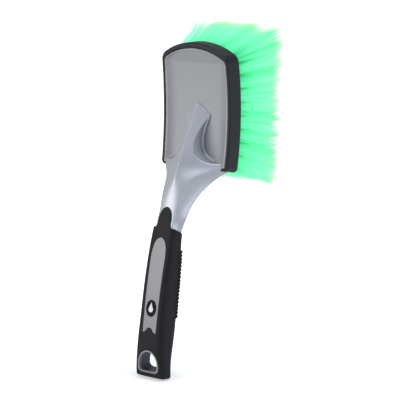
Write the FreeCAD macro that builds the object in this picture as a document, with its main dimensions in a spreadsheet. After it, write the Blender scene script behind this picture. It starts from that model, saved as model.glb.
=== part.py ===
import FreeCAD, Part
import math
import os

# A hand-held wheel brush: a silver moulded neck and handle core, a curved head shell with a
# rubber bumper, a rubber grip sleeve, and a block of staple-set nylon tufts.
#
# Frame: X across the brush, +Y the way the bristles point, +Z along the head, away from the
# handle.  The origin is the middle of the hang hole, on the back of the handle.
# Every outline and section is symmetric about X = 0.  Lengths are in millimetres.

V = FreeCAD.Vector
doc = FreeCAD.newDocument("wheel_brush")

# ---------------------------------------------------------------- driving dimensions

SIZES = {
    # head: a plate bent about an axis across the brush, with its hollow side to the back
    "head_half_width": 36.0,
    "head_side_bulge": 0.6,
    "head_foot": 160.3,
    "head_foot_rake": 0.24,
    "head_foot_hinge": 4.5,
    "head_shoulder": 252.5,
    "head_crown": 269.7,
    "head_foot_corner": 4.0,
    "head_top_corner": 9.5,
    "head_bend_radius": 300.0,
    "head_back": 71.1,
    "head_middle": 212.0,
    "head_thickness": 17.0,
    # rubber bumper round the shell
    "bumper_side": 3.2,
    "bumper_top": 5.0,
    "bumper_foot": 2.3,
    "bumper_round": 2.0,
    "bumper_front_cover": 2.4,
    # shell: a tray with a dished back, open to the front
    "shell_wall": 2.2,
    "shell_floor": 2.2,
    "lip_width": 1.4,
    "dish_depth": 3.0,
    "dish_cove": 11.0,
    # bristle block and tufts
    "fit_gap": 0.2,
    "block_step": 0.5,
    "column_pitch": 11.2,
    "row_pitch": 5.45,
    "first_row": 168.0,
    "hole_radius": 2.3,
    "hole_depth": 9.2,
    "tuft_root_radius": 1.8,
    "tuft_tip_radius": 4.8,
    "fan_across": 0.0078,
    "fan_along": 0.0076,
    "fan_middle": 223.0,
    "trim_depth": 135.5,
    "trim_rake": 0.045,
    "staple_width": 3.8,
    "staple_thickness": 0.5,
    "staple_height": 1.6,
    # grip: how square its corners are at the front and the back (2 is an ellipse)
    "grip_front_power": 2.6,
    "grip_back_power": 5.0,
    # rubber sleeve of the grip
    "rubber_thickness": 2.4,
    "rubber_end_height": 114.5,
    "rubber_end_depth": 23.0,
    "rubber_end_tilt": 28.0,
    "tongue_tip": 131.5,
    "tongue_half_width": 6.6,
    "butt_height": -14.2,
    "butt_tilt": 9.0,
    "butt_round": 2.0,
    "rib_count": 19,
    "rib_pitch": 3.1,
    "rib_width": 1.6,
    "rib_first": 36.5,
    "rib_height": 1.4,
    "rib_reach": 8.5,
    # inlay let into the back of the sleeve, and the badge on it
    "inlay_top": 106.0,
    "inlay_shoulder": 91.0,
    "inlay_foot": 25.2,
    "inlay_notch": 4.6,
    "inlay_half_width": 7.4,
    "inlay_tail_half_width": 7.0,
    "inlay_thickness": 1.8,
    "badge_height": 46.3,
    "badge_half_width": 5.2,
    "badge_half_length": 7.3,
    "badge_thickness": 1.3,
    "badge_proud": 0.45,
    "badge_tilt": 10.5,
    "emblem_thickness": 0.5,
    "emblem_proud": 0.2,
    "emblem_radius": 2.3,
    "emblem_tip": 5.2,
    # hang hole and its liner
    "hang_half_width": 9.1,
    "hang_half_height": 8.3,
    "hang_corner": 3.0,
    "hang_start": -4.0,
    "hang_taper": 5.0,
    "liner_wall": 1.2,
    "liner_proud": 0.35,
    # blocks that cut the grip: wider than it all round, and reaching past its butt
    "clear_span": 80.0,
    "clear_end": 30.0,
    # foot of the neck on the head: its roof and the scoop in each side
    "eave_depth": 78.0,
    "scoop_waist": 6.2,
    "scoop_height": 185.0,
    "foot_half_width": 30.4,
    "foot_corner": 25.0,
    "foot_point": 41.0,
    "ledge_width": 1.7,
    "ledge_height": 1.3,
    "ledge_corner": 20.5,
    "ledge_point": 21.0,
}

# Points round one section of the grip.
GRIP_POINTS = 36

# Sections of the grip, from the butt up: height, back face, half width, depth.
GRIP_FIELDS = ("height", "back", "half_width", "depth")
GRIP = {
    "end": (-20.0, 0.4, 15.0, 18.4),
    "hole": (-1.0, 0.0, 15.0, 19.4),
    "heel": (17.0, 0.7, 14.3, 24.6),
    "palm": (38.0, 3.9, 13.7, 26.0),
    "middle": (58.0, 7.5, 13.4, 25.5),
    "finger": (76.0, 11.5, 13.3, 24.0),
    "throat": (93.0, 15.9, 13.0, 21.2),
    "collar": (108.0, 20.3, 12.4, 19.0),
    "tongue": (122.0, 24.6, 12.0, 20.5),
    "crown": (136.0, 29.9, 12.6, 24.5),
}

# Sections of the neck, from inside the grip up to the head: height, ridge, half width and
# depth of the crease, half width and depth of the front edge, middle of the front face, how
# far each side is hollowed, and how round the ridge is (0 is a sharp roof).
NECK_FIELDS = ("height", "ridge", "crease_width", "crease_depth",
               "front_width", "front_depth", "front_middle", "hollow", "roundness")
NECK = {
    "root": (97.0, 18.0, 8.8, 18.6, 8.6, 33.6, 35.0, -1.6, 1.0),
    "cuff": (108.0, 21.2, 8.9, 21.6, 9.0, 36.8, 38.3, -1.4, 1.0),
    "lip": (116.5, 23.8, 8.8, 24.5, 9.8, 41.2, 42.9, -0.9, 1.0),
    "wrist": (121.0, 25.3, 8.8, 26.2, 10.3, 43.9, 45.6, 0.6, 1.0),
    "waist": (129.0, 28.2, 8.9, 29.6, 11.3, 49.2, 51.0, 2.0, 1.0),
    "bend": (139.0, 32.2, 10.6, 34.8, 14.2, 57.8, 60.0, 2.6, 1.0),
    "flare": (148.0, 36.0, 13.2, 42.2, 19.0, 68.4, 70.5, 2.8, 0.8),
    "spread": (155.0, 39.1, 19.2, 52.8, 25.5, 77.0, 79.0, 2.4, 0.45),
    "skirt": (161.0, 42.0, 29.6, 65.0, 32.0, 81.6, 82.8, 0.8, 0.1),
    "hem": (166.0, 44.9, 31.6, 69.6, 33.0, 83.0, 84.0, 0.4, 0.05),
}

# Sections of the roof that runs up the head to the arrow point: height, ridge, and the half
# width at which its slopes have sunk to the eave depth.
ROOF_FIELDS = ("height", "ridge", "half_width")
ROOF = {
    "first": (163.0, 43.5, 45.0),
    "second": (171.0, 46.6, 39.7),
    "third": (180.0, 51.6, 37.5),
    "fourth": (190.0, 57.8, 34.0),
    "fifth": (200.0, 63.6, 29.5),
    "sixth": (210.0, 69.3, 20.5),
    "seventh": (222.0, 76.2, 4.2),
}

TABLES = {"grip": (GRIP_FIELDS, GRIP), "neck": (NECK_FIELDS, NECK), "roof": (ROOF_FIELDS, ROOF)}


def fill_sheet(sheet):
    """Give every driving dimension a cell and an alias."""
    rows = dict(SIZES)
    for table, (fields, stations) in TABLES.items():
        for station, values in stations.items():
            for field, value in zip(fields, values):
                rows[f"{table}_{station}_{field}"] = value
    for row, (alias, value) in enumerate(rows.items(), start=1):
        sheet.set(f"A{row}", alias)
        sheet.set(f"B{row}", str(value))
        sheet.setAlias(f"B{row}", alias)


sheet = doc.addObject("Spreadsheet::Sheet", "sizes")
fill_sheet(sheet)
doc.recompute()


def size(alias):
    """One driving dimension, read from the sheet."""
    return float(sheet.get(alias))


def sections(table):
    """Every section of one table, read from the sheet, each as a list of its fields."""
    fields, stations = TABLES[table]
    return [[size(f"{table}_{station}_{field}") for field in fields] for station in stations]


# ---------------------------------------------------------------- small helpers

def bind(made, **cells):
    """Bind properties to the sheet: PROPERTY=EXPRESSION, with __ for a dot."""
    for key, expression in cells.items():
        made.setExpression(key.replace("__", "."), expression)
    return made


def cut(name, base, tool):
    made = doc.addObject("Part::Cut", name)
    made.Base = base
    made.Tool = tool
    return made


def common(name, first, second):
    made = doc.addObject("Part::Common", name)
    made.Base = first
    made.Tool = second
    return made


def fuse(name, parts):
    made = doc.addObject("Part::MultiFuse", name)
    made.Shapes = parts
    return made


def group(name, parts):
    made = doc.addObject("Part::Compound", name)
    made.Links = parts
    return made


def free_shape(name, shape):
    """A free-form solid that no primitive and no sketch gives."""
    made = doc.addObject("Part::Feature", name)
    made.Shape = shape
    return made


def line(start, end):
    return Part.LineSegment(V(*start, 0), V(*end, 0))


def round_arc(centre, radius, start, end):
    """Part of a circle between two angles in degrees."""
    circle = Part.Circle(V(*centre, 0), V(0, 0, 1), radius)
    return Part.ArcOfCircle(circle, math.radians(start), math.radians(end))


def spline(points):
    curve = Part.BSplineCurve()
    curve.interpolate([V(*point, 0) for point in points])
    return curve


def mirror(points):
    """Points mirrored in X = 0, in the opposite order."""
    return [(-across, along) for across, along in reversed(points)]


def plane_sketch(body, role, edges):
    """A sketch of the given edges on one origin plane of the body."""
    plane = next(item for item in body.Origin.OriginFeatures if item.Role == role)
    sketch = body.newObject("Sketcher::SketchObject", body.Name + "_sketch")
    sketch.AttachmentSupport = [(plane, "")]
    sketch.MapMode = "FlatFace"
    sketch.addGeometry(edges, False)
    doc.recompute()
    return sketch


def prism(name, edges, length, start="0"):
    """An outline in X and Z, padded by length along +Y from Y = start."""
    body = doc.addObject("PartDesign::Body", name)
    pad = body.newObject("PartDesign::Pad", name + "_pad")
    pad.Profile = plane_sketch(body, "XZ_Plane", edges)
    pad.Reversed = True
    bind(pad, Length=length)
    bind(body, Placement__Base__y=start)
    doc.recompute()
    return body


# ---------------------------------------------------------------- head

def head_outline(side, top, foot, corner):
    """The head's outline in X and Z, pulled in at its sides, top and foot."""
    half = size("head_half_width") - side
    low = size("head_foot") + foot
    crown = size("head_crown") - top
    shoulder = size("head_shoulder") - top + side
    low_corner = max(size("head_foot_corner") - corner, 0.8)
    top_corner = size("head_top_corner") - corner
    bulge = size("head_side_bulge")
    reach = half - top_corner
    rise = crown - shoulder
    # The arch is the circle through the crown that meets both corner rounds smoothly.
    arch = (reach ** 2 + rise ** 2 - top_corner ** 2) / (2 * (rise - top_corner))
    lean = math.degrees(math.atan2(shoulder - crown + arch, reach))
    waist = (low + low_corner + shoulder) / 2
    side_arc = [(half, low + low_corner), (half + bulge, waist), (half, shoulder)]
    return [
        round_arc((half - low_corner, low + low_corner), low_corner, -90, 0),
        Part.Arc(*[V(*point, 0) for point in side_arc]),
        round_arc((reach, shoulder), top_corner, 0, lean),
        round_arc((0, crown - arch), arch, lean, 180 - lean),
        round_arc((-reach, shoulder), top_corner, 180 - lean, 180),
        Part.Arc(*[V(*point, 0) for point in mirror(side_arc)]),
        round_arc((low_corner - half, low + low_corner), low_corner, 180, 270),
        line((low_corner - half, low), (half - low_corner, low)),
    ]


def bent_layer(name, inner, outer):
    """The space between two cylinders about the axis that the head is bent round."""
    drums = []
    for suffix, radius in (("outer", outer), ("inner", inner)):
        drum = doc.addObject("Part::Cylinder", f"{name}_{suffix}")
        drum.Placement.Rotation = FreeCAD.Rotation(V(0, 1, 0), 90)
        bind(drum,
             Radius=f"sizes.head_bend_radius + {radius}",
             Height="sizes.head_half_width * 4",
             Placement__Base__x="-sizes.head_half_width * 2",
             Placement__Base__y="sizes.head_back - sizes.head_bend_radius",
             Placement__Base__z="sizes.head_middle")
        drums.append(drum)
    return cut(name, *drums)


def head_prism(name, side, top, foot, corner=0.0):
    """The head's outline drawn out along Y; its foot drops a little towards the front."""
    reach = 2 * size("head_thickness")
    wires = []
    for depth in (-reach, reach):
        drop = size("head_foot_rake") * (depth + size("head_foot_hinge"))
        edges = [edge.toShape() for edge in head_outline(side, top, foot - drop, corner)]
        wire = Part.Wire(edges)
        wire.Placement = FreeCAD.Placement(V(0, size("head_back") + depth, 0),
                                           FreeCAD.Rotation(V(1, 0, 0), 90))
        wires.append(wire)
    return free_shape(name, Part.makeLoft(wires, True, True))


def dish_tool():
    """The hollow in the back of the shell: flat in the middle, coved along every edge."""
    half = size("head_half_width") - size("bumper_side") - size("lip_width")
    cove = size("dish_cove")
    back = size("head_bend_radius")
    floor = back + size("dish_depth")
    across = [(half, back), (half - cove * 0.35, back + size("dish_depth") * 0.62), (half - cove, floor)]
    body = doc.addObject("PartDesign::Body", "dish_across")
    turn = body.newObject("PartDesign::Revolution", "dish_across_turn")
    profile = plane_sketch(body, "XY_Plane", [
        spline(across),
        line((half - cove, floor), (cove - half, floor)),
        spline(mirror(across)),
        line((-half, back), (-half, back - 9)),
        line((-half, back - 9), (half, back - 9)),
        line((half, back - 9), (half, back)),
    ])
    turn.Profile = profile
    turn.ReferenceAxis = (profile, ["H_Axis"])
    turn.Angle = 40
    turn.Midplane = True
    bind(body,
         Placement__Base__y="sizes.head_back - sizes.head_bend_radius",
         Placement__Base__z="sizes.head_middle")
    doc.recompute()
    return body


def dish_ends():
    """The same hollow seen from the side: it rises to the lip at the head's top and foot."""
    middle = size("head_middle")
    axis = size("head_back") - size("head_bend_radius")
    floor = size("head_bend_radius") + size("dish_depth")
    lip = size("head_bend_radius")
    cove = size("dish_cove")
    top = size("head_crown") - size("bumper_top") - size("lip_width") - middle
    foot = size("head_foot") + size("bumper_foot") + size("lip_width") - middle

    def at(radius, height):
        return (axis + math.sqrt(radius ** 2 - height ** 2), middle + height)

    high = at(lip, top)
    low = at(lip, foot)
    floor_arc = Part.Arc(*[V(*at(floor, height), 0) for height in (foot + cove / 2, 0, top - cove)])
    body = doc.addObject("PartDesign::Body", "dish_along")
    pad = body.newObject("PartDesign::Pad", "dish_along_pad")
    behind = size("head_back") - 2 * size("head_thickness")
    pad.Profile = plane_sketch(body, "YZ_Plane", [
        floor_arc,
        line(at(floor, top - cove), high),
        line(high, (behind, high[1])),
        line((behind, high[1]), (behind, low[1])),
        line((behind, low[1]), low),
        line(low, at(floor, foot + cove / 2)),
    ])
    bind(pad, Length="sizes.head_half_width * 3")
    pad.Midplane = True
    doc.recompute()
    return body


side, top, foot = size("bumper_side"), size("bumper_top"), size("bumper_foot")
wall, gap, lip = size("shell_wall"), size("fit_gap"), size("lip_width")

envelope = common("head_envelope", head_prism("head_block_outline", 0, 0, 0),
                  bent_layer("head_layer", "0", "sizes.head_thickness"))
doc.recompute()


def rim_edges(solid):
    """The edges that run round the back and the front of a bent slab."""
    axis = V(0, size("head_back") - size("head_bend_radius"), size("head_middle"))
    rims = []
    for number, edge in enumerate(solid.Shape.Edges, start=1):
        radii = [math.hypot(edge.valueAt(at).y - axis.y, edge.valueAt(at).z - axis.z)
                 for at in (edge.FirstParameter, edge.LastParameter)]
        if abs(radii[0] - radii[1]) < 0.01:
            rims.append((number, size("bumper_round"), size("bumper_round")))
    return rims


rounded = doc.addObject("Part::Fillet", "head_rounded")
rounded.Base = envelope
rounded.Edges = rim_edges(envelope)

# The shell is a tray: its back shows inside the bumper, its walls hold the bristle block.
tray_block = common("tray_block", head_prism("tray_outline", side, top, foot, side),
                    bent_layer("tray_layer", "-1", "sizes.head_thickness - sizes.bumper_front_cover"))
pocket = common("pocket", head_prism("pocket_outline", side + wall, top + wall, foot + wall, side + wall),
                bent_layer("pocket_layer", "sizes.dish_depth + sizes.shell_floor",
                           "sizes.head_thickness + 9"))
dish = common("dish", common("dish_coved", dish_tool(), dish_ends()),
              head_prism("dish_outline", side + lip, top + lip, foot + lip, side + lip))
back_plate = common("back_plate", tray_block,
                    bent_layer("plate_layer", "0", "sizes.head_thickness"))
head_shell = cut("head_shell_body", cut("dished_tray", back_plate, dish), pocket)

# The bumper is what is left of the rounded slab round the shell and its pocket.
head_bumper = cut("head_bumper_body", cut("bumper_round_shell", rounded, tray_block), pocket)

# ---------------------------------------------------------------- tufts


def tuft_roots():
    """Rows of (across, height) on the front of the block; every second row is offset."""
    pitch = size("column_pitch")
    rows = []
    for row in range(17):
        height = size("first_row") + row * size("row_pitch")
        if row % 2 == 0:
            columns = [-2.5, -1.5, -0.5, 0.5, 1.5, 2.5]
        else:
            columns = [-2, -1, 0, 1, 2]
        rows.append([(column * pitch, height) for column in columns])
    rows.append([(column * pitch, size("first_row") + 17 * size("row_pitch")) for column in (-1, 0, 1)])
    return rows


def tuft_line(across, height):
    """Where a tuft leaves the front of the block, which way it leans, and its length."""
    axis = size("head_back") - size("head_bend_radius")
    radius = size("head_bend_radius") + size("head_thickness") - size("block_step")
    front = axis + math.sqrt(radius ** 2 - (height - size("head_middle")) ** 2)
    lean = V(size("fan_across") * across, 1, size("fan_along") * (height - size("fan_middle")))
    # The tufts are trimmed along one plane that leans back a little towards the handle.
    rake = size("trim_rake")
    trim = size("trim_depth") + rake * (height - size("head_middle"))
    length = lean.Length * (trim - front) / (1 - rake * lean.z)
    return V(across, front, height), lean.normalize(), length


def tuft_placement(across, height, depth):
    """A place on a tuft's own axis, depth mm below the front of the block."""
    start, lean, _ = tuft_line(across, height)
    return FreeCAD.Placement(start - lean * depth, FreeCAD.Rotation(V(0, 0, 1), lean))


hole_tools = []
staples = []
tuft_rows = []
for row, roots in enumerate(tuft_roots(), start=1):
    tufts = []
    for column, (across, height) in enumerate(roots, start=1):
        mark = f"{row}_{column}"
        hole = bind(doc.addObject("Part::Cylinder", f"hole_{mark}"),
                    Radius="sizes.hole_radius", Height="sizes.hole_depth + 4")
        hole.Placement = tuft_placement(across, height, size("hole_depth"))
        hole_tools.append(hole)
        staple = bind(doc.addObject("Part::Box", f"staple_{mark}"),
                      Length="sizes.staple_width", Width="sizes.staple_thickness",
                      Height="sizes.staple_height")
        centring = V(-size("staple_width") / 2, -size("staple_thickness") / 2, 0)
        staple.Placement = (tuft_placement(across, height, size("hole_depth"))
                            * FreeCAD.Placement(centring, FreeCAD.Rotation()))
        staples.append(staple)
        tuft = bind(doc.addObject("Part::Cone", f"tuft_{mark}"),
                    Radius1="sizes.tuft_root_radius", Radius2="sizes.tuft_tip_radius",
                    Height=f"{tuft_line(across, height)[2]} + sizes.hole_depth - sizes.staple_height")
        tuft.Placement = tuft_placement(across, height, size("hole_depth") - size("staple_height"))
        tufts.append(tuft)
    tuft_rows.append(group(f"tuft_row_{row:02d}_body", tufts))

block_blank = common("block_blank",
                     head_prism("block_outline", side + wall + gap, top + wall + gap,
                                foot + wall + gap, side + wall + gap),
                     bent_layer("block_layer", "sizes.dish_depth + sizes.shell_floor + sizes.fit_gap",
                                "sizes.head_thickness - sizes.block_step"))
bristle_block = cut("bristle_block_body", block_blank, group("block_holes", hole_tools))
tuft_staples = group("tuft_staples_body", staples)

# ---------------------------------------------------------------- grip and neck solids


def grip_section(height, back, half_width, depth, inset):
    """A closed curve round the grip: nearly flat at the back, rounder at the fingers."""
    centre = back + depth / 2
    across, along = half_width - inset, depth / 2 - inset
    points = []
    for step in range(GRIP_POINTS):
        turn = 2 * math.pi * step / GRIP_POINTS
        power = size("grip_front_power") if math.sin(turn) > 0 else size("grip_back_power")
        reach = (abs(math.cos(turn)) / across) ** power + (abs(math.sin(turn)) / along) ** power
        reach = reach ** (-1 / power)
        points.append(V(reach * math.cos(turn), centre + reach * math.sin(turn), height))
    curve = Part.BSplineCurve()
    # Even parameters give every section the same knots, so the loft between them is smooth.
    curve.interpolate(Points=points, PeriodicFlag=True, Parameters=list(range(len(points) + 1)))
    return Part.Wire(curve.toShape())


def grip_loft(inset, low=-1e3, high=1e3):
    """A loft through the grip's sections between two heights, inset all round."""
    wires = [grip_section(*values, inset) for values in sections("grip") if low < values[0] < high]
    return Part.makeLoft(wires, True, False)


def neck_section(height, ridge, crease_width, crease_depth, front_width, front_depth,
                 front_middle, hollow, roundness):
    """A roof of two bowed slopes at the back, two hollowed sides and a rounded front."""
    top = V(0, ridge, height)
    crease = V(crease_width, crease_depth, height)
    front = V(front_width, front_depth, height)
    along = front - crease
    inward = V(-along.y, along.x, 0).normalize()
    waist = (crease + front) / 2 + inward * hollow
    slope = crease - top
    outward = V(slope.y, -slope.x, 0).normalize()
    # At roundness 1 both slopes leave the ridge level, so that they make one smooth curve.
    bow = roundness * slope.Length / 2 * math.tan(math.atan2(slope.y, slope.x) / 2)
    shoulder = (top + crease) / 2 + outward * bow

    def flip(point):
        return V(-point.x, point.y, point.z)

    return Part.Wire([
        Part.Arc(top, shoulder, crease).toShape(),
        Part.Arc(crease, waist, front).toShape(),
        Part.Arc(front, V(0, front_middle, height), flip(front)).toShape(),
        Part.Arc(flip(front), flip(waist), flip(crease)).toShape(),
        Part.Arc(flip(crease), flip(shoulder), top).toShape(),
    ])


def roof_section(height, ridge, half_width):
    """Two slopes from the ridge down to the eaves, closed across the bottom."""
    eave = size("eave_depth")
    corners = [V(0, ridge, height), V(half_width, eave, height), V(-half_width, eave, height)]
    return Part.makePolygon(corners + corners[:1])


def foot_outline(corner, point, ledge=0.0):
    """The foot of the neck in X and Z: an arrow point with a scoop in each side.

    corner and point are the heights of the arrow's corners and tip above the scoops' middle,
    and a ledge fills the scoops by that much.
    """
    waist, height, wide = size("scoop_waist"), size("scoop_height"), size("foot_half_width")
    scoop = [(waist + 0.45 * corner - 1.65, height + corner), (waist + 3.2 + ledge * 0.8, height + 14),
             (waist + ledge, height), (waist + 2.8 + ledge * 0.9, height - 10.5 + ledge * 0.4),
             (waist + 10.2 + ledge * 0.4, height - 16.6 + ledge * 0.9),
             (wide, height - 18.3 + ledge * 0.6)]
    tip = (0, height + point)
    low = height - 22.5
    return [
        line(tip, scoop[0]),
        spline(scoop),
        line(scoop[-1], (wide, low)),
        line((wide, low), (-wide, low)),
        line((-wide, low), (-wide, scoop[-1][1])),
        spline(mirror(scoop)),
        line((-scoop[0][0], scoop[0][1]), tip),
    ]


neck = free_shape("neck_loft", Part.makeLoft([neck_section(*values) for values in sections("neck")], True, False))
roof = free_shape("roof_loft", Part.makeLoft([roof_section(*values) for values in sections("roof")], True, False))
foot_edges = foot_outline(size("foot_corner"), size("foot_point"))
foot_on_head = common("neck_foot", roof, prism("foot_outline", foot_edges, "60", "sizes.eave_depth - 50"))
ledge_edges = foot_outline(size("ledge_corner"), size("ledge_point"), size("ledge_width"))
scoop_ledge = common("scoop_ledge",
                     prism("ledge_outline", ledge_edges, "60", "sizes.eave_depth - 50"),
                     bent_layer("ledge_layer", "sizes.dish_depth - sizes.ledge_height", "sizes.dish_depth + 1"))
grip_outer = free_shape("grip_outer", grip_loft(0))
tang = free_shape("tang_loft", grip_loft(size("rubber_thickness"), high=115))

# ---------------------------------------------------------------- hang hole liner


def hang_outline(extra):
    """A D: an arch over a flat sill with round corners, larger all round by extra."""
    wide = size("hang_half_width") + extra
    tall = size("hang_half_height") + extra
    corner = size("hang_corner") + extra / 2
    spring = -tall * 0.3
    arch = [(wide * math.cos(turn), spring + (tall - spring) * math.sin(turn))
            for turn in [math.pi * step / 10 for step in range(11)]]
    return [
        spline(arch),
        line((-wide, spring), (-wide, corner - tall)),
        round_arc((corner - wide, corner - tall), corner, 180, 270),
        line((corner - wide, -tall), (wide - corner, -tall)),
        round_arc((wide - corner, corner - tall), corner, 270, 360),
        line((wide, corner - tall), (wide, spring)),
    ]


def flared(name, extra):
    """The hang hole's prism, which widens towards the front of the handle."""
    body = prism(name, hang_outline(extra), "60", "sizes.hang_start")
    bind(body.Tip, TaperAngle="sizes.hang_taper")
    doc.recompute()
    return body


liner_bore = flared("liner_bore", 0)
liner_block = flared("liner_block", size("liner_wall"))
liner_faces = free_shape("liner_faces", grip_loft(-size("liner_proud"), high=60))
hang_liner = cut("hang_liner_body", common("liner_solid", liner_block, liner_faces), liner_bore)

# ---------------------------------------------------------------- handle core

butt_cutter = bind(doc.addObject("Part::Box", "butt_cutter"), Length="sizes.clear_span",
                   Width="sizes.clear_span", Height="sizes.clear_end")
butt_cutter.Placement = (
    FreeCAD.Placement(V(0, 0, size("butt_height")), FreeCAD.Rotation(V(1, 0, 0), -size("butt_tilt")))
    * FreeCAD.Placement(V(-size("clear_span") / 2, -size("clear_end"), -size("clear_end")),
                        FreeCAD.Rotation()))
tang_end = bind(doc.addObject("Part::Box", "tang_end"), Length="sizes.clear_span",
                Width="sizes.clear_span", Height="sizes.clear_end")
tang_end.Placement = butt_cutter.Placement * FreeCAD.Placement(V(0, 0, size("rubber_thickness")),
                                                               FreeCAD.Rotation())
tang_in_grip = cut("tang_in_grip", tang, tang_end)
handle_solid = fuse("handle_solid", [neck, foot_on_head, scoop_ledge, tang_in_grip])
head_solid = cut("head_solid", rounded, dish)
handle_core = cut("handle_core_body", cut("handle_on_head", handle_solid, head_solid), liner_block)

# ---------------------------------------------------------------- rubber sleeve


def tongue_outline():
    """The tongue of rubber that runs up the back of the neck."""
    half, tip = size("tongue_half_width"), size("tongue_tip")
    base = size("rubber_end_height") - 12
    flank = [(half + 0.6, tip - 17), (half, tip - 11), (half * 0.82, tip - 5), (half * 0.45, tip - 1.3)]
    return [
        line((-half - 0.6, base), (half + 0.6, base)),
        line((half + 0.6, base), flank[0]),
        spline(flank + [(0, tip)] + mirror(flank)),
        line((-half - 0.6, flank[0][1]), (-half - 0.6, base)),
    ]


def grip_at(height):
    """Back face and depth of the grip at a height, between two of its sections."""
    rows = sections("grip")
    for low, high in zip(rows, rows[1:]):
        if low[0] <= height <= high[0]:
            share = (height - low[0]) / (high[0] - low[0])
            return [a + share * (b - a) for a, b in zip(low, high)][1::2]
    raise ValueError(height)


below_collar = bind(doc.addObject("Part::Box", "below_collar"), Length="sizes.clear_span",
                    Width="1.5 * sizes.clear_span", Height="2.5 * sizes.clear_span")
below_collar.Placement = (
    FreeCAD.Placement(V(0, size("rubber_end_depth"), size("rubber_end_height")),
                      FreeCAD.Rotation(V(1, 0, 0), -size("rubber_end_tilt")))
    * FreeCAD.Placement(V(-0.5, -0.75, -2.5) * size("clear_span"), FreeCAD.Rotation()))
tongue = prism("tongue_outline", tongue_outline(), "33", "0")
rubber_zone = fuse("rubber_zone", [below_collar, tongue])
rubber_blank = cut("rubber_blank", common("rubber_in_zone", grip_outer, rubber_zone), butt_cutter)
doc.recompute()
rubber_round = doc.addObject("Part::Fillet", "rubber_round")
rubber_round.Base = rubber_blank
rubber_round.Edges = [(number, size("butt_round"), size("butt_round"))
                      for number, edge in enumerate(rubber_blank.Shape.Edges, start=1)
                      if edge.BoundBox.ZMax < size("butt_height") + 2]

rib_bars = []
for rib in range(int(size("rib_count"))):
    height = size("rib_first") + rib * size("rib_pitch")
    back, depth = grip_at(height)
    bar = bind(doc.addObject("Part::Box", f"rib_bar_{rib + 1}"),
               Length="40", Width="sizes.rib_reach + 6", Height="sizes.rib_width")
    bar.Placement.Base = V(-20, back + depth - size("rib_reach"), height - size("rib_width") / 2)
    rib_bars.append(bar)
rib_skin = free_shape("rib_skin", grip_loft(-size("rib_height"), low=0, high=115))
ribs = common("ribs", group("rib_bars", rib_bars), rib_skin)

# ---------------------------------------------------------------- inlay, badge and emblem


def inlay_outline():
    """A tongue with a round top and a swallow tail."""
    half, tail = size("inlay_half_width"), size("inlay_tail_half_width")
    top, shoulder, low = size("inlay_top"), size("inlay_shoulder"), size("inlay_foot")
    crown = [(half, shoulder), (half * 0.86, shoulder + (top - shoulder) * 0.5),
             (half * 0.5, top - 2.0)]
    fork = [(tail, low + 2.2), (tail - 0.9, low + 0.2), (tail - 2.6, low + 1.1),
            (tail * 0.32, low + size("inlay_notch") - 0.9)]
    return [
        spline(crown + [(0, top)] + mirror(crown)),
        line((-half, shoulder), (-tail, low + 2.2)),
        spline([(-across, along) for across, along in fork]
               + [(0, low + size("inlay_notch"))] + fork[::-1]),
        line((tail, low + 2.2), (half, shoulder)),
    ]


def badge_pad(name, edges, length, lift):
    """A small piece on the back of the inlay, square to its slope, standing lift proud."""
    body = prism(name, edges, length)
    back, _ = grip_at(size("badge_height"))
    turn = FreeCAD.Rotation(V(1, 0, 0), -size("badge_tilt"))
    body.setExpression("Placement.Base.y", None)
    body.Placement = FreeCAD.Placement(V(0, back, size("badge_height")), turn) * FreeCAD.Placement(
        V(0, -lift, 0), FreeCAD.Rotation())
    return body


def emblem_outline():
    """A plain water drop, point up."""
    radius, tip = size("emblem_radius"), size("emblem_tip")
    centre = -1.2
    tangent = math.degrees(math.acos(radius / (tip - centre)))
    touch = math.radians(90 - tangent)
    side_point = (radius * math.cos(touch), centre + radius * math.sin(touch))
    return [
        round_arc((0, centre), radius, 90 + tangent, 450 - tangent),
        line(side_point, (0, tip)),
        line((0, tip), (-side_point[0], side_point[1])),
    ]


inner_layer = free_shape("inlay_inner", grip_loft(size("inlay_thickness")))
inlay_block = prism("inlay_outline", inlay_outline(), "43", "-20")
inlay_solid = cut("inlay_solid", common("inlay_in_grip", inlay_block, grip_outer), inner_layer)
ellipse = Part.Ellipse(V(0, size("badge_half_length"), 0), V(size("badge_half_width"), 0, 0), V(0, 0, 0))
badge_solid = badge_pad("badge_solid", [ellipse], "sizes.badge_thickness", size("badge_proud"))
badge_emblem = badge_pad("badge_emblem_body", emblem_outline(), "sizes.emblem_thickness",
                         size("badge_proud") + size("emblem_proud"))
badge = cut("badge_body", badge_solid, badge_emblem)
grip_inlay = cut("grip_inlay_body", cut("inlay_on_core", inlay_solid, handle_solid), badge_solid)
sleeve_hollow = cut("sleeve_hollow", fuse("sleeve_with_ribs", [rubber_round, ribs]), handle_solid)
grip_sleeve = cut("grip_sleeve_body", cut("sleeve_window", sleeve_hollow, inlay_solid), liner_block)

doc.recompute()

# ---------------------------------------------------------------- finished pieces

NODES = {
    "handle_core": handle_core,
    "head_shell": head_shell,
    "head_bumper": head_bumper,
    "bristle_block": bristle_block,
    "tuft_staples": tuft_staples,
    "grip_sleeve": grip_sleeve,
    "grip_inlay": grip_inlay,
    "badge": badge,
    "badge_emblem": badge_emblem,
    "hang_liner": hang_liner,
}
for row, tufts in enumerate(tuft_rows, start=1):
    NODES[f"tuft_row_{row:02d}"] = tufts

for made in doc.Objects:
    if "Invalid" in made.State or "Error" in made.State:
        raise RuntimeError(f"{made.Name} failed: {made.State}")
for node, made in NODES.items():
    made.Label = node
    if made.Shape.isNull() or not made.Shape.isValid():
        raise RuntimeError(f"{node} has no valid shape")

os.makedirs("parts", exist_ok=True)
for node, made in NODES.items():
    made.Shape.exportStep(f"parts/{node}.step")
    box = made.Shape.optimalBoundingBox(False)
    print(f"{node}: {len(made.Shape.Solids)} solids, {made.Shape.Volume:.0f} mm3, "
          f"X {box.XMin:.1f} {box.XMax:.1f}, Y {box.YMin:.1f} {box.YMax:.1f}, Z {box.ZMin:.1f} {box.ZMax:.1f}")
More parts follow.
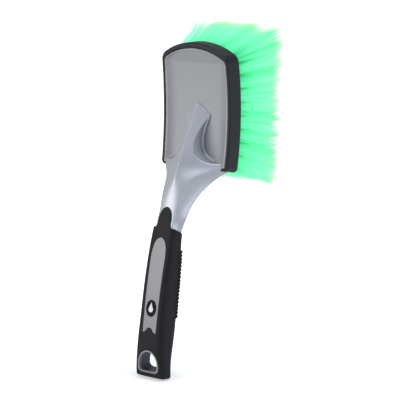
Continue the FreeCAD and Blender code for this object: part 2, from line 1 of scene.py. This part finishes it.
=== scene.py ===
"""Looks of the wheel brush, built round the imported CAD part. Units are metres.

Frame: X across the brush, +Y the way the bristles point, +Z up the handle and head.  The
origin is the middle of the hang hole, on the back of the handle.
"""
import math

import bpy
import numpy as np
from mathutils import Matrix, Vector


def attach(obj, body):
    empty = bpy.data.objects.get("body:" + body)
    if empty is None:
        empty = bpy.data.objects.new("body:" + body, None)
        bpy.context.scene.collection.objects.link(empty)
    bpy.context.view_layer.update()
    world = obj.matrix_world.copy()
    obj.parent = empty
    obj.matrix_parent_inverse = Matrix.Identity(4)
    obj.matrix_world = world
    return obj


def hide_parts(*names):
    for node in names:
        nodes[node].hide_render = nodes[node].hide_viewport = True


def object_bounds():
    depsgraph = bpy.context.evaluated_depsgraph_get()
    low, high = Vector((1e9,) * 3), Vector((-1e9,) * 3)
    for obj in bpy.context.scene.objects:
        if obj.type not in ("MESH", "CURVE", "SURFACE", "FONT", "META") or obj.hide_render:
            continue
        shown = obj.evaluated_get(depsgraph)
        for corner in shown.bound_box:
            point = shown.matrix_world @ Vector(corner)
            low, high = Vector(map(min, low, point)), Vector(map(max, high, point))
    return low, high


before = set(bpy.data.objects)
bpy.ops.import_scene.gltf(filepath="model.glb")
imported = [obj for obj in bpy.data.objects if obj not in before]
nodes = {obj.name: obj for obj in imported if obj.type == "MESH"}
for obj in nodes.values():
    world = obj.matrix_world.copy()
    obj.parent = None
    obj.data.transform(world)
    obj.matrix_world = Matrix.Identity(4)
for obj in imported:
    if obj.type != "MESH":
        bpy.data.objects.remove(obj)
cad_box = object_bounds()
scene = bpy.context.scene
MM = 0.001

# ------------------------------------------------------------------ camera

AZIMUTH = math.radians(36)
ELEVATION = math.radians(11.5)
SENSOR_MM = 36
FOCAL_LENGTH_MM = 144
# The hang hole's distance in front of the camera, and its place right of and above the middle of
# the view, as shares of that distance.
DISTANCE = 1.38
HOLE_RIGHT = -0.032625
HOLE_UP = -0.1009375


def make_camera():
    """A long lens, up and to the right of the brush's back, with the hang hole low on the left."""
    right = Vector((math.cos(AZIMUTH), math.sin(AZIMUTH), 0))
    forward = Vector((-math.sin(AZIMUTH) * math.cos(ELEVATION),
                      math.cos(AZIMUTH) * math.cos(ELEVATION),
                      -math.sin(ELEVATION)))
    up = right.cross(forward)
    to_hole = forward + HOLE_RIGHT * right + HOLE_UP * up
    data = bpy.data.cameras.new("camera")
    data.sensor_width = SENSOR_MM
    data.lens = FOCAL_LENGTH_MM
    data.clip_end = 100
    camera = bpy.data.objects.new("camera", data)
    scene.collection.objects.link(camera)
    turn = Matrix((right, up, -forward)).transposed().to_4x4()
    camera.matrix_world = Matrix.Translation(-to_hole * DISTANCE) @ turn
    scene.camera = camera


make_camera()

# ------------------------------------------------------------------ light

WORLD_LEFT = (0.42, 0.42, 0.42)
WORLD_RIGHT = (0.25, 0.275, 0.34)
WORLD_FADE = (-0.9, 0.7)
BRUSH_MIDDLE = (0, 0.05, 0.15)
NECK_MIDDLE = (0.0, 0.04, 0.13)
# Each light's place, what it points at, width, height, power in watts and colour.
LIGHTS = {
    "key_back": ((-0.75, -1.2, 0.55), BRUSH_MIDDLE, 1.0, 1.2, 10, (1.0, 0.99, 0.97)),
    "top": ((0.35, 0.0, 1.45), BRUSH_MIDDLE, 1.0, 1.0, 8, (0.95, 0.97, 1.0)),
    "low_side": ((1.1, 0.25, 0.26), NECK_MIDDLE, 1.0, 0.5, 2.6, (0.9, 0.94, 1.0)),
}


def area_light(name, place, target, width, height, power, colour):
    """A rectangular studio lamp."""
    data = bpy.data.lights.new(name, "AREA")
    data.shape = "RECTANGLE"
    data.size = width
    data.size_y = height
    data.energy = power
    data.color = colour
    light = bpy.data.objects.new(name, data)
    scene.collection.objects.link(light)
    light.location = place
    light.rotation_euler = (Vector(target) - Vector(place)).to_track_quat("-Z", "Y").to_euler()


def make_world():
    """A studio, neutral on the brush's left, cooler on its right and white where it's seen directly."""
    world = bpy.data.worlds.new("studio")
    scene.world = world
    world.use_nodes = True
    tree = world.node_tree
    direction = tree.nodes.new("ShaderNodeTexCoord").outputs["Generated"]
    split = tree.nodes.new("ShaderNodeSeparateXYZ")
    tree.links.new(direction, split.inputs[0])
    fade = tree.nodes.new("ShaderNodeMapRange")
    fade.inputs["From Min"].default_value = WORLD_FADE[0]
    fade.inputs["From Max"].default_value = WORLD_FADE[1]
    tree.links.new(split.outputs["X"], fade.inputs["Value"])
    sides = tree.nodes.new("ShaderNodeMix")
    sides.data_type = "RGBA"
    sides.inputs["A"].default_value = (*WORLD_LEFT, 1)
    sides.inputs["B"].default_value = (*WORLD_RIGHT, 1)
    tree.links.new(fade.outputs[0], sides.inputs["Factor"])
    seen = tree.nodes.new("ShaderNodeMix")
    seen.data_type = "RGBA"
    seen.inputs["B"].default_value = (1, 1, 1, 1)
    direct = tree.nodes.new("ShaderNodeLightPath").outputs["Is Camera Ray"]
    tree.links.new(direct, seen.inputs["Factor"])
    tree.links.new(sides.outputs["Result"], seen.inputs["A"])
    tree.links.new(seen.outputs["Result"], tree.nodes["Background"].inputs["Color"])


make_world()
for name, settings in LIGHTS.items():
    area_light(name, *settings)
scene.view_settings.view_transform = "Standard"

# ------------------------------------------------------------------ materials

RUBBER_COLOUR = (0.0125, 0.012, 0.015)
# How deep in the hang hole the liner's painted shade has gone dark, and how far away a wall still casts
# painted shade on the silver.
LINER_SHADE_DEPTH = 8 * MM
PAINTED_SHADE_REACH = 14 * MM
# Noise cells per metre, from the finest flecks and grain to the broadest mottling.
RUBBER_GRAIN = 2800
SILVER_FLAKE = 2600
SATIN_GRAIN = 1500
GLOSS_RIPPLE = 900
MOTTLE = 700
RUBBER_PATCHES = 160
# Heights of the relief that the grain and the ripple give.
SILVER_RELIEF = 0.1 * MM
RUBBER_RELIEF = 0.12 * MM


class Shader:
    """A small helper to build one node material."""

    def __init__(self, name):
        self.material = bpy.data.materials.new(name)
        self.material.use_nodes = True
        self.tree = self.material.node_tree
        self.tree.nodes.clear()
        output = self.tree.nodes.new("ShaderNodeOutputMaterial")
        self.body = self.tree.nodes.new("ShaderNodeBsdfPrincipled")
        self.link(self.body.outputs[0], output.inputs["Surface"])
        self.place = None

    def set(self, **values):
        """Constants on the shader's own sockets, with _ for a space."""
        for key, value in values.items():
            self.body.inputs[key.replace("_", " ")].default_value = value
        return self

    def link(self, source, target):
        self.tree.links.new(source, target)

    def position(self, scale=(1, 1, 1)):
        """The surface point in the part's own frame, stretched by scale."""
        if self.place is None:
            self.place = self.tree.nodes.new("ShaderNodeTexCoord").outputs["Object"]
        stretch = self.tree.nodes.new("ShaderNodeVectorMath")
        stretch.operation = "MULTIPLY"
        stretch.inputs[1].default_value = scale
        self.link(self.place, stretch.inputs[0])
        return stretch.outputs[0]

    def noise(self, scale, detail=2):
        """Noise of so many cells per metre."""
        node = self.tree.nodes.new("ShaderNodeTexNoise")
        node.inputs["Scale"].default_value = scale
        node.inputs["Detail"].default_value = detail
        self.link(self.position(), node.inputs["Vector"])
        return node.outputs["Fac"]

    def ramp(self, value, stops):
        """A colour ramp of (place, colour) stops."""
        node = self.tree.nodes.new("ShaderNodeValToRGB")
        elements = node.color_ramp.elements
        while len(elements) < len(stops):
            elements.new(0.5)
        for element, (place, colour) in zip(elements, stops):
            element.position = place
            element.color = (*colour, 1)
        self.link(value, node.inputs["Fac"])
        return node.outputs["Color"]

    def multiply(self, first, second):
        """Two colours multiplied together."""
        node = self.tree.nodes.new("ShaderNodeVectorMath")
        node.operation = "MULTIPLY"
        self.link(first, node.inputs[0])
        self.link(second, node.inputs[1])
        return node.outputs[0]

    def bump(self, height, strength, depth):
        """Fine relief from a noise, at most so deep."""
        node = self.tree.nodes.new("ShaderNodeBump")
        node.inputs["Strength"].default_value = strength
        node.inputs["Distance"].default_value = depth
        self.link(height, node.inputs["Height"])
        self.link(node.outputs["Normal"], self.body.inputs["Normal"])

    def colour(self, value, stops):
        """The base colour, varied along a ramp."""
        self.link(self.ramp(value, stops), self.body.inputs["Base Color"])


def silver_gloss():
    """Metallic silver moulding compound with fine flake, with painted shade darkening its hollows."""
    shader = Shader("silver_gloss").set(Metallic=0.45, Roughness=0.36)
    flake = shader.ramp(shader.noise(SILVER_FLAKE), [(0.35, (0.50, 0.515, 0.56)),
                                                     (0.65, (0.58, 0.595, 0.64))])
    # Painted shade: an occlusion node darkens the silver where nearby walls close round it.
    painted_shade_occlusion = shader.tree.nodes.new("ShaderNodeAmbientOcclusion")
    painted_shade_occlusion.inputs["Distance"].default_value = PAINTED_SHADE_REACH
    shade = shader.ramp(painted_shade_occlusion.outputs["AO"], [(0.35, (0.30, 0.31, 0.36)), (0.85, (1, 1, 1))])
    shader.link(shader.multiply(flake, shade), shader.body.inputs["Base Color"])
    shader.bump(shader.noise(GLOSS_RIPPLE), 0.05, SILVER_RELIEF)
    return shader.material


def silver_satin(name, dark, light, metallic, roughness):
    """The flatter silver of the head's back and of the inlay."""
    shader = Shader(name).set(Metallic=metallic, Roughness=roughness)
    shader.colour(shader.noise(SILVER_FLAKE), [(0.35, dark), (0.65, light)])
    shader.bump(shader.noise(SATIN_GRAIN), 0.06, SILVER_RELIEF)
    return shader.material


def silver_liner():
    """Silver on the liner's rim that goes dull and dark down its bore, as painted shade."""
    shader = Shader("silver_liner").set(Metallic=0.6, Roughness=0.45)
    # Painted shade: the colour darkens with depth down the bore.
    depth = shader.tree.nodes.new("ShaderNodeSeparateXYZ")
    shader.link(shader.position((1, 1 / LINER_SHADE_DEPTH, 1)), depth.inputs[0])
    shader.colour(depth.outputs["Y"], [(0.1, (0.32, 0.32, 0.34)), (0.6, (0.07, 0.075, 0.10))])
    shader.bump(shader.noise(SATIN_GRAIN), 0.06, SILVER_RELIEF)
    return shader.material


def rubber(name, colour, roughness, specular):
    """Moulded rubber: nearly black, a little uneven, with a fine grain."""
    shader = Shader(name).set(Roughness=roughness, Specular_IOR_Level=specular)
    dark = tuple(0.9 * c for c in colour)
    light = tuple(1.12 * c for c in colour)
    shader.colour(shader.noise(RUBBER_PATCHES, 4), [(0.3, dark), (0.7, light)])
    shader.bump(shader.noise(RUBBER_GRAIN, 3), 0.18, RUBBER_RELIEF)
    return shader.material


def plain(name, colour, roughness, metallic=0.0, specular=0.5):
    """One colour with slight mottling."""
    shader = Shader(name).set(Roughness=roughness, Metallic=metallic, Specular_IOR_Level=specular)
    dark = tuple(0.95 * c for c in colour)
    shader.colour(shader.noise(MOTTLE), [(0.3, dark), (0.7, colour)])
    return shader.material


# Colour along a filament: the dark start is painted shade among the roots, the pale end the flagged
# tips.
SHADED_ROOT_TO_PALE_TIP = [(0.0, (0.01, 0.42, 0.18)), (0.22, (0.20, 0.86, 0.52)), (0.5, (0.33, 0.97, 0.67)),
               (0.85, (0.46, 1.0, 0.72)), (1.0, (0.74, 1.0, 0.54))]
DARK_TO_PALE = [(0.0, (0.34, 0.80, 0.62)), (0.5, (0.86, 1.0, 0.95)), (1.0, (1.0, 1.0, 1.0))]


def nylon():
    """Green filament: deep at the root, as painted shade, pale at the flagged tips, each lock of its
    own tone; it glows a little as painted light.
    """
    # Emission is painted light: the filaments glow a little, standing in for light through the nylon.
    shader = Shader("green_nylon").set(Roughness=0.5, Specular_IOR_Level=0.25, Emission_Strength=0.34)
    along, tone = [shader.tree.nodes.new("ShaderNodeAttribute") for _ in range(2)]
    along.attribute_name = "along"
    tone.attribute_name = "tone"
    length = shader.ramp(along.outputs["Fac"], SHADED_ROOT_TO_PALE_TIP)
    shade = shader.ramp(tone.outputs["Fac"], DARK_TO_PALE)
    colour_and_painted_glow = shader.multiply(length, shade)
    shader.link(colour_and_painted_glow, shader.body.inputs["Base Color"])
    # The same colour is painted as a glow.
    shader.link(colour_and_painted_glow, shader.body.inputs["Emission Color"])
    return shader.material


looks = {
    "silver_gloss": silver_gloss(),
    "silver_panel": silver_satin("silver_panel", (0.325, 0.33, 0.345), (0.38, 0.385, 0.40), 0.32, 0.52),
    "silver_inlay": silver_satin("silver_inlay", (0.23, 0.23, 0.24), (0.28, 0.28, 0.29), 0.45, 0.46),
    "silver_liner": silver_liner(),
    "rubber_grip": rubber("rubber_grip", RUBBER_COLOUR, 0.55, 0.22),
    "rubber_bumper": rubber("rubber_bumper", RUBBER_COLOUR, 0.42, 0.36),
    "block": plain("block_plastic", (0.02, 0.25, 0.12), 0.5),
    "wire": plain("staple_wire", (0.6, 0.6, 0.6), 0.35, 1.0),
    "badge": plain("badge_black", (0.006, 0.006, 0.008), 0.5, specular=0.1),
    "emblem": plain("emblem_white", (0.8, 0.8, 0.8), 0.3),
    "nylon": nylon(),
}


# The nodes that aren't here are the rows of tufts, which are nylon.
NODE_LOOKS = {
    "handle_core": "silver_gloss",
    "head_shell": "silver_panel",
    "head_bumper": "rubber_bumper",
    "bristle_block": "block",
    "tuft_staples": "wire",
    "grip_sleeve": "rubber_grip",
    "grip_inlay": "silver_inlay",
    "badge": "badge",
    "badge_emblem": "emblem",
    "hang_liner": "silver_liner",
}


def paint(piece, look):
    """Gives a piece one of the looks, in place of any it has."""
    piece.data.materials.clear()
    piece.data.materials.append(looks[look])


for name, node in nodes.items():
    paint(node, NODE_LOOKS.get(name, "nylon"))

# ------------------------------------------------------------------ floor

FLOOR_HALF = 12
# Seen directly the floor burns out to white, but glows less near the hang hole, under the brush's
# shadow: from the near distance to the far one its glow rises to 1. On other rays it glows faintly.
SHADOW_REACH = (0.03, 0.14)
SHADOW_GLOW = 0.48
FAINT_GLOW = 0.12


def make_floor():
    """A white sweep under the butt; it glows a little, as an overlit studio floor does."""
    low = cad_box[0].z
    mesh = bpy.data.meshes.new("floor")
    corners = [(-1, -1), (1, -1), (1, 1), (-1, 1)]
    mesh.from_pydata([(x * FLOOR_HALF, y * FLOOR_HALF, low) for x, y in corners], [], [(0, 1, 2, 3)])
    floor = bpy.data.objects.new("floor", mesh)
    scene.collection.objects.link(floor)
    shader = Shader("floor_white").set(Base_Color=(0.8, 0.8, 0.8, 1), Roughness=0.9,
                                       Emission_Color=(1, 1, 1, 1))
    seen = shader.tree.nodes.new("ShaderNodeLightPath").outputs["Is Camera Ray"]
    reach = shader.tree.nodes.new("ShaderNodeVectorMath")
    reach.operation = "LENGTH"
    shader.link(shader.position(), reach.inputs[0])
    burnt = shader.tree.nodes.new("ShaderNodeMapRange")
    burnt.inputs["From Min"].default_value = SHADOW_REACH[0]
    burnt.inputs["From Max"].default_value = SHADOW_REACH[1]
    burnt.inputs["To Min"].default_value = SHADOW_GLOW
    burnt.inputs["To Max"].default_value = 1.0
    shader.link(reach.outputs["Value"], burnt.inputs["Value"])
    glow = shader.tree.nodes.new("ShaderNodeMapRange")
    glow.inputs["To Min"].default_value = FAINT_GLOW
    shader.link(burnt.outputs[0], glow.inputs["To Max"])
    shader.link(seen, glow.inputs["Value"])
    shader.link(glow.outputs[0], shader.body.inputs["Emission Strength"])
    mesh.materials.append(shader.material)


make_floor()

# ------------------------------------------------------------------ moulded pieces

# Each skin's look, material slot, voxel size and rounds of smoothing.
SKINS = {
    "handle_core": ("silver_gloss", "silver_gloss", 0.55 * MM, 3),
    "head_shell": ("silver_panel", "silver_satin", 0.55 * MM, 2),
    "head_bumper": ("rubber_bumper", "black_rubber", 0.5 * MM, 3),
    "grip_sleeve": ("rubber_grip", "black_rubber", 0.53 * MM, 1),
}


def smooth_copy(node, look, slot, voxel, passes):
    """A finer skin over one CAD solid, with its hard edges eased as a mould leaves them."""
    piece = bpy.data.objects.new(node + "_skin", nodes[node].data.copy())
    scene.collection.objects.link(piece)
    remesh = piece.modifiers.new("skin", "REMESH")
    remesh.mode = "VOXEL"
    remesh.voxel_size = voxel
    ease = piece.modifiers.new("ease", "SMOOTH")
    ease.factor = 0.5
    ease.iterations = passes
    bpy.context.view_layer.update()
    graph = bpy.context.evaluated_depsgraph_get()
    skin = bpy.data.meshes.new_from_object(piece.evaluated_get(graph))
    piece.modifiers.clear()
    piece.data = skin
    for polygon in skin.polygons:
        polygon.use_smooth = True
    paint(piece, look)
    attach(piece, "root")
    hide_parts(node)


for name, settings in SKINS.items():
    smooth_copy(name, *settings)

# ------------------------------------------------------------------ bristles

# Filaments in a tuft, sides of a filament, and locks in a tuft, with how far each filament moves
# to its lock's middle and how much of its tone is the lock's.
FILAMENTS = 180
SIDES = 3
LOCKS = 14
LOCK_PULL = 0.35
LOCK_TONE = 0.8
# The tuft's round bunch in its hole and its square tip, and how soon it opens from one to the other.
ROOT_RADIUS = 2.2 * MM
TIP_HALF = 8.6 * MM
OPENING = 0.85
# Radii of a filament, and of the split ends, the flags, that it has at its tip.
HAIR_RADIUS = 0.16 * MM
FLAG_RADIUS = 0.08 * MM
FLAGS = 2
# Marks along a filament, as shares of its length, with its radius at each.
STEM = {0.07: HAIR_RADIUS, 0.3: HAIR_RADIUS, 0.55: HAIR_RADIUS, 0.8: HAIR_RADIUS,
        0.92: 1.2 * FLAG_RADIUS, 1.0: 0.6 * FLAG_RADIUS}
FLAG = {0.77: 1.2 * FLAG_RADIUS, 0.9: FLAG_RADIUS, 1.0: 0.5 * FLAG_RADIUS}
# Random spreads: of a filament's lean, trimmed height, bow and flags, and of its length as a share.
LEAN_SPREAD = 0.8 * MM
TRIM_SPREAD = 0.6 * MM
BOW_SPREAD = 0.15 * MM
FLAG_SPREAD = 1.5 * MM
LONGEST = 1.03
LENGTH_SPREAD = 0.014
# Tufts further out than this, or in rows below or above these heights, keep their full colour down to
# their roots. The colour of the others lags, as painted shade deep inside the brush.
OUTER_COLUMN = 25 * MM
OUTER_ROWS = (169 * MM, 252 * MM)
INNER_SHADE_LAG = 2.3
# Tufts above the outer rows' upper height flare up this much more, and all are trimmed at the top.
TOP_FLARE = 0.7
TRIM_TOP = 282 * MM
# A cone's points within this share of its length from an end belong to that end.
CONE_END = 0.02
rng = np.random.default_rng(7)


def islands(mesh):
    """Arrays of the points of each separate solid in a mesh."""
    count = len(mesh.vertices)
    points = np.empty(count * 3)
    mesh.vertices.foreach_get("co", points)
    points = points.reshape(-1, 3)
    edges = np.empty(len(mesh.edges) * 2, int)
    mesh.edges.foreach_get("vertices", edges)
    edges = edges.reshape(-1, 2)
    # Points that share a place start with one label, since the frame's faces may not share points.
    _, label = np.unique(np.round(points, 6), axis=0, return_inverse=True)
    label = label.ravel()
    while True:
        low = np.minimum(label[edges[:, 0]], label[edges[:, 1]])
        lowest = np.arange(count)
        np.minimum.at(lowest, label[edges[:, 0]], low)
        np.minimum.at(lowest, label[edges[:, 1]], low)
        fresh = lowest[label]
        if (fresh == label).all():
            break
        label = fresh
    return [points[label == mark] for mark in np.unique(label)]


def tuft_axis(points):
    """Middle of the root and of the tip of one tuft's cone."""
    far = points[:, 1] > (points[:, 1].min() + points[:, 1].max()) / 2
    along = (points[far].mean(0) - points[~far].mean(0)) @ points.T
    end = CONE_END * np.ptp(along)
    return points[along < along.min() + end].mean(0), points[along > along.max() - end].mean(0)


def tubes(lines, radii, marks):
    """Closed three-sided tubes along many lines: points, triangles and marks for each point."""
    count, rings, _ = lines.shape
    along = np.gradient(lines, axis=1)
    along /= np.linalg.norm(along, axis=2, keepdims=True)
    # Any direction that no filament lies along will do to start the ring from.
    first = np.cross(along, np.array([0.31, 0.17, 0.93]))
    first /= np.linalg.norm(first, axis=2, keepdims=True)
    second = np.cross(along, first)
    turns = np.arange(SIDES) * 2 * math.pi / SIDES
    spread = first[:, :, None] * np.cos(turns)[:, None] + second[:, :, None] * np.sin(turns)[:, None]
    points = lines[:, :, None] + spread * radii[..., None, None]
    index = np.arange(count * rings * SIDES).reshape(count, rings, SIDES)
    a, b = index[:, :-1], index[:, 1:]
    a_next, b_next = np.roll(a, -1, axis=2), np.roll(b, -1, axis=2)
    sides = np.concatenate([np.stack([a, a_next, b_next], -1).reshape(-1, 3),
                            np.stack([a, b_next, b], -1).reshape(-1, 3),
                            index[:, 0, ::-1].reshape(-1, 3),
                            index[:, -1].reshape(-1, 3)])
    return points.reshape(-1, 3), sides, [np.repeat(mark, SIDES, axis=-1).ravel() for mark in marks]


def tuft_lines(root, tip):
    """The filaments of one tuft: bunched in its hole, fanned out and split at their tips."""
    axis = tip - root
    length = np.linalg.norm(axis)
    axis = axis / length
    across = np.cross(axis, (0, 0, 1))
    across /= np.linalg.norm(across)
    over = np.cross(across, axis)
    # A tuft leaves its round hole and opens to a square, so that its tips meet its neighbours'.
    square = rng.uniform(-1, 1, (FILAMENTS, 2))
    # Filaments lie together in locks, each of its own tone, which leaves fine lines between them.
    locks = rng.uniform(-1, 1, (LOCKS, 2))
    nearest = np.argmin(np.linalg.norm(square[:, None] - locks, axis=2), axis=1)
    tone = rng.random(LOCKS)[nearest] * LOCK_TONE + rng.random(FILAMENTS) * (1 - LOCK_TONE)
    gathered = square + (locks[nearest] - square) * LOCK_PULL
    bunch = square * np.sqrt(1 - square[:, ::-1] ** 2 / 2)
    splay = gathered * TIP_HALF + rng.normal(0, LEAN_SPREAD, bunch.shape)
    ends = length * (LONGEST - np.abs(rng.normal(0, LENGTH_SPREAD, FILAMENTS)))
    if root[2] > OUTER_ROWS[1]:
        splay[:, 1] *= 1 + TOP_FLARE * np.maximum(square[:, 1], 0)
    # A filament that would rise past the brush's trimmed top is cut back along its own line.
    rise = ends * axis[2] + splay @ np.stack([across, over])[:, 2]
    room = TRIM_TOP + rng.normal(0, TRIM_SPREAD, FILAMENTS) - root[2]
    trim = np.clip(room / np.maximum(rise, MM), 0, 1)
    ends *= trim
    splay *= trim[:, None]
    bow = rng.normal(0, BOW_SPREAD, bunch.shape)

    def at(shares, spread):
        """Points at shares of each filament's length, for tips spread so far."""
        shares = np.asarray(shares)
        open_out = shares ** OPENING
        flat = (bunch[:, None] * ROOT_RADIUS * (1 - open_out)[:, None]
                + spread[:, None] * open_out[:, None]
                + bow[:, None] * np.sin(shares * math.pi)[:, None])
        return (root + axis * (ends[:, None] * shares)[..., None]
                + across * flat[..., :1] + over * flat[..., 1:])

    stem, flag = list(STEM), list(FLAG)
    lines = [(at(stem, splay), stem, list(STEM.values()))]
    for _ in range(FLAGS):
        stray = splay + rng.normal(0, FLAG_SPREAD, splay.shape)
        line = np.concatenate([at(flag[:1], splay), at(flag[1:], stray)], axis=1)
        lines.append((line, flag, list(FLAG.values())))
    return lines, tone


def shade_lagged_marks(shares, root):
    """How far each share of a filament is along the colour ramp: tufts inside the brush lag behind, as
    painted shade.
    """
    outside = abs(root[0]) > OUTER_COLUMN or not OUTER_ROWS[0] < root[2] < OUTER_ROWS[1]
    return np.asarray(shares) ** (1 if outside else INNER_SHADE_LAG)


def make_tufts(node):
    """All the filaments of one row of tufts, as one piece."""
    points, faces, along, tones = [], [], [], []
    base = 0
    for cone in islands(nodes[node].data):
        root, tip = tuft_axis(cone)
        strands, tone = tuft_lines(root, tip)
        for lines, shares, radii in strands:
            shape = (len(lines), len(shares))
            # The along mark carries painted shade: it lags for tufts deep inside the brush.
            marks = [np.broadcast_to(shade_lagged_marks(shares, root), shape),
                     np.broadcast_to(tone[:, None], shape)]
            tube_points, tube_faces, tube_marks = tubes(lines, np.broadcast_to(radii, shape), marks)
            points.append(tube_points)
            faces.append(tube_faces + base)
            along.append(tube_marks[0])
            tones.append(tube_marks[1])
            base += len(tube_points)
    points, faces = np.concatenate(points), np.concatenate(faces)
    mesh = bpy.data.meshes.new(node + "_filaments")
    mesh.vertices.add(len(points))
    mesh.vertices.foreach_set("co", points.ravel())
    mesh.loops.add(faces.size)
    mesh.loops.foreach_set("vertex_index", faces.ravel())
    mesh.polygons.add(len(faces))
    mesh.polygons.foreach_set("loop_start", np.arange(len(faces)) * 3)
    mesh.update(calc_edges=True)
    for mark, values in (("along", along), ("tone", tones)):
        mesh.attributes.new(mark, "FLOAT", "POINT").data.foreach_set("value", np.concatenate(values))
    piece = bpy.data.objects.new(node + "_filaments", mesh)
    scene.collection.objects.link(piece)
    paint(piece, "nylon")
    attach(piece, "root")
    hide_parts(node)


for name in sorted(nodes):
    if name.startswith("tuft_row"):
        make_tufts(name)
